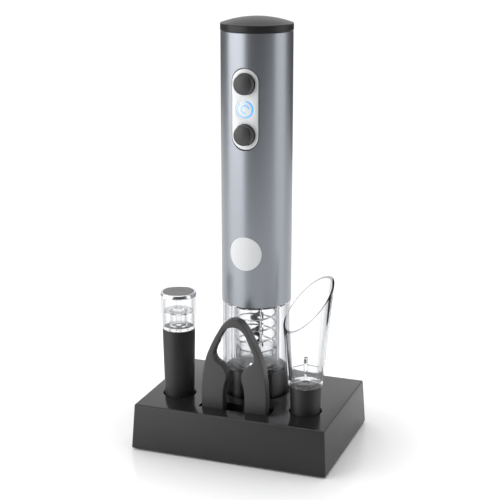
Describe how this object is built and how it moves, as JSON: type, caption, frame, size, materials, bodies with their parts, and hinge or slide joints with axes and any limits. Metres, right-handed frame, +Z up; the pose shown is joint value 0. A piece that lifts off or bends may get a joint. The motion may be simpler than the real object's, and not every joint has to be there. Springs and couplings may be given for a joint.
{
  "type": "electric wine opener",
  "caption": "Battery wine opener standing on a weighted block that also holds a pump stopper, a foil cutter and a slant-cut pourer.",
  "frame": {"origin": "middle of the stand's underside, on the plane of its feet", "axes": "+Z up along the opener, -Y the front with the buttons, +X towards the pourer"},
  "size_m": [0.1448, 0.1048, 0.3036],
  "materials": {
    "satin_black_plastic": "satin",
    "black_rubber": "matte",
    "steel": "satin",
    "grey_tube": "satin metallic lacquer",
    "clear_plastic": "clear gloss",
    "black_cap": "satin gloss",
    "dark_worm": "non-stick coating",
    "grey_nylon": "matte",
    "bronze": "sintered",
    "cell_label": "gloss",
    "board_green": "satin",
    "silver_panel": "satin",
    "blue_light": "lit",
    "bright_chrome": "polished",
    "dark_disc": "satin"
  },
  "bodies": {
    "stand": {"stand_housing": "satin_black_plastic", "stand_cover": "satin_black_plastic", "stand_screws": "steel", "stand_feet": "black_rubber"},
    "opener": {"body_tube": "grey_tube", "clear_sleeve": "clear_plastic", "output_bush": "bronze", "gearbox_housing": "grey_nylon", "motor_mount": "steel", "motor_can": "steel", "motor_bell": "satin_black_plastic", "chassis_front": "satin_black_plastic", "chassis_rear": "satin_black_plastic", "chassis_screws": "steel", "battery_holder": "satin_black_plastic", "battery_cells": "cell_label", "contact_springs": "steel", "circuit_board": "board_green", "tact_switches": "black_cap", "status_light": "blue_light", "button_panel": "silver_panel", "status_lens": "blue_light", "neck_spring": "steel"},
    "cap_carrier": {"contact_carrier": "satin_black_plastic", "contact_plates": "steel"},
    "cap": {"cap": "black_cap"},
    "button_up": {"button_up": "black_cap"},
    "button_down": {"button_down": "black_cap"},
    "neck_guide": {"neck_guide": "clear_plastic"},
    "worm_drive": {"output_carrier": "grey_nylon", "worm_collar": "grey_nylon", "worm": "dark_worm"},
    "middle_carrier": {"middle_carrier": "grey_nylon"},
    "motor_rotor": {"motor_rotor": "steel"},
    "stopper": {"stopper_rubber": "black_rubber", "stopper_barrel": "grey_nylon", "stopper_valve": "black_rubber", "stopper_head": "clear_plastic"},
    "stopper_pump": {"pump_ring": "bright_chrome", "pump_knob": "dark_disc", "pump_piston": "grey_nylon"},
    "pourer": {"pourer_rubber": "black_rubber", "pourer_spout": "clear_plastic", "pourer_stem": "clear_plastic", "pourer_baffle": "clear_plastic"},
    "foil_cutter": {"cutter_bow": "satin_black_plastic"},
    "cutter_arm_left": {"cutter_arm_left": "satin_black_plastic", "cutter_pins_left": "steel"},
    "cutter_arm_right": {"cutter_arm_right": "satin_black_plastic", "cutter_pins_right": "steel"},
    "output_planet_1": {"output_planet_1": "grey_nylon"},
    "motor_planet_1": {"motor_planet_1": "grey_nylon"},
    "output_planet_2": {"output_planet_2": "grey_nylon"},
    "motor_planet_2": {"motor_planet_2": "grey_nylon"},
    "output_planet_3": {"output_planet_3": "grey_nylon"},
    "motor_planet_3": {"motor_planet_3": "grey_nylon"},
    "cutter_wheel_left_1": {"cutter_wheel_left_1": "steel"},
    "cutter_wheel_left_2": {"cutter_wheel_left_2": "steel"},
    "cutter_wheel_right_1": {"cutter_wheel_right_1": "steel"},
    "cutter_wheel_right_2": {"cutter_wheel_right_2": "steel"}
  },
  "joints": [
    {"name": "opener_lift", "type": "slide", "parent": "stand", "child": "opener", "axis": [0, 0, 1], "range_m": [0, 0.06]},
    {"name": "cap_lift", "type": "slide", "parent": "opener", "child": "cap_carrier", "axis": [0, 0, 1], "range_m": [0, 0.06]},
    {"name": "cap_turn", "type": "hinge", "parent": "cap_carrier", "child": "cap", "pos_m": [0, 0.011, 0.295], "axis": [0, 0, 1], "range_deg": [0, 40]},
    {"name": "button_up_press", "type": "slide", "parent": "opener", "child": "button_up", "axis": [0, 1, 0], "range_m": [0, 0.0008], "stiffness_N_per_m": 600, "springref_m": -0.0005},
    {"name": "button_down_press", "type": "slide", "parent": "opener", "child": "button_down", "axis": [0, 1, 0], "range_m": [0, 0.0008], "stiffness_N_per_m": 600, "springref_m": -0.0005},
    {"name": "neck_guide_slide", "type": "slide", "parent": "opener", "child": "neck_guide", "axis": [0, 0, 1], "range_m": [0, 0.024], "stiffness_N_per_m": 120, "springref_m": -0.008, "deforming": ["neck_spring"]},
    {"name": "worm_spin", "type": "hinge", "parent": "opener", "child": "worm_drive", "pos_m": [0, 0.011, 0.1], "axis": [0, 0, 1], "continuous": true},
    {"name": "middle_carrier_spin", "type": "hinge", "parent": "opener", "child": "middle_carrier", "pos_m": [0, 0.011, 0.13], "axis": [0, 0, 1], "continuous": true},
    {"name": "motor_rotor_spin", "type": "hinge", "parent": "opener", "child": "motor_rotor", "pos_m": [0, 0.011, 0.16], "axis": [0, 0, 1], "continuous": true},
    {"name": "stopper_lift", "type": "slide", "parent": "stand", "child": "stopper", "axis": [0, 0, 1], "range_m": [0, 0.045]},
    {"name": "pump_stroke", "type": "slide", "parent": "stopper", "child": "stopper_pump", "axis": [0, 0, 1], "range_m": [0, 0.028]},
    {"name": "pourer_lift", "type": "slide", "parent": "stand", "child": "pourer", "axis": [0, 0, 1], "range_m": [0, 0.045]},
    {"name": "cutter_lift", "type": "slide", "parent": "stand", "child": "foil_cutter", "axis": [0, 0, 1], "range_m": [0, 0.04]},
    {"name": "cutter_squeeze_right", "type": "hinge", "parent": "foil_cutter", "child": "cutter_arm_right", "pos_m": [0.0052, -0.033, 0.0964], "axis": [0, 1, 0], "range_deg": [0, 3], "stiffness_Nm_per_rad": 0.4},
    {"name": "cutter_squeeze_left", "type": "hinge", "parent": "foil_cutter", "child": "cutter_arm_left", "pos_m": [-0.0052, -0.033, 0.0964], "axis": [0, -1, 0], "range_deg": [0, 3], "stiffness_Nm_per_rad": 0.4},
    {"name": "output_planet_1_spin", "type": "hinge", "parent": "worm_drive", "child": "output_planet_1", "pos_m": [0.009, 0.011, 0.123], "axis": [0, 0, 1], "continuous": true},
    {"name": "motor_planet_1_spin", "type": "hinge", "parent": "middle_carrier", "child": "motor_planet_1", "pos_m": [0.009, 0.011, 0.134], "axis": [0, 0, 1], "continuous": true},
    {"name": "output_planet_2_spin", "type": "hinge", "parent": "worm_drive", "child": "output_planet_2", "pos_m": [-0.0045, 0.01879, 0.123], "axis": [0, 0, 1], "continuous": true},
    {"name": "motor_planet_2_spin", "type": "hinge", "parent": "middle_carrier", "child": "motor_planet_2", "pos_m": [-0.0045, 0.01879, 0.134], "axis": [0, 0, 1], "continuous": true},
    {"name": "output_planet_3_spin", "type": "hinge", "parent": "worm_drive", "child": "output_planet_3", "pos_m": [-0.0045, 0.00321, 0.123], "axis": [0, 0, 1], "continuous": true},
    {"name": "motor_planet_3_spin", "type": "hinge", "parent": "middle_carrier", "child": "motor_planet_3", "pos_m": [-0.0045, 0.00321, 0.134], "axis": [0, 0, 1], "continuous": true},
    {"name": "cutter_wheel_left_1_spin", "type": "hinge", "parent": "cutter_arm_left", "child": "cutter_wheel_left_1", "pos_m": [-0.0125, -0.033, 0.0675], "axis": [0, 1, 0], "continuous": true},
    {"name": "cutter_wheel_left_2_spin", "type": "hinge", "parent": "cutter_arm_left", "child": "cutter_wheel_left_2", "pos_m": [-0.0111, -0.033, 0.0864], "axis": [0, 1, 0], "continuous": true},
    {"name": "cutter_wheel_right_1_spin", "type": "hinge", "parent": "cutter_arm_right", "child": "cutter_wheel_right_1", "pos_m": [0.0125, -0.033, 0.0675], "axis": [0, 1, 0], "continuous": true},
    {"name": "cutter_wheel_right_2_spin", "type": "hinge", "parent": "cutter_arm_right", "child": "cutter_wheel_right_2", "pos_m": [0.0111, -0.033, 0.0864], "axis": [0, 1, 0], "continuous": true}
  ],
  "couplings": [
    {"joint": "middle_carrier_spin", "follows": "motor_rotor_spin", "ratio": 0.2},
    {"joint": "worm_spin", "follows": "motor_rotor_spin", "ratio": 0.04},
    {"joint": "cutter_squeeze_left", "follows": "cutter_squeeze_right", "ratio": 1},
    {"joint": "output_planet_1_spin", "follows": "motor_rotor_spin", "ratio": -0.10667},
    {"joint": "motor_planet_1_spin", "follows": "motor_rotor_spin", "ratio": -0.53333},
    {"joint": "output_planet_2_spin", "follows": "motor_rotor_spin", "ratio": -0.10667},
    {"joint": "motor_planet_2_spin", "follows": "motor_rotor_spin", "ratio": -0.53333},
    {"joint": "output_planet_3_spin", "follows": "motor_rotor_spin", "ratio": -0.10667},
    {"joint": "motor_planet_3_spin", "follows": "motor_rotor_spin", "ratio": -0.53333}
  ]
}
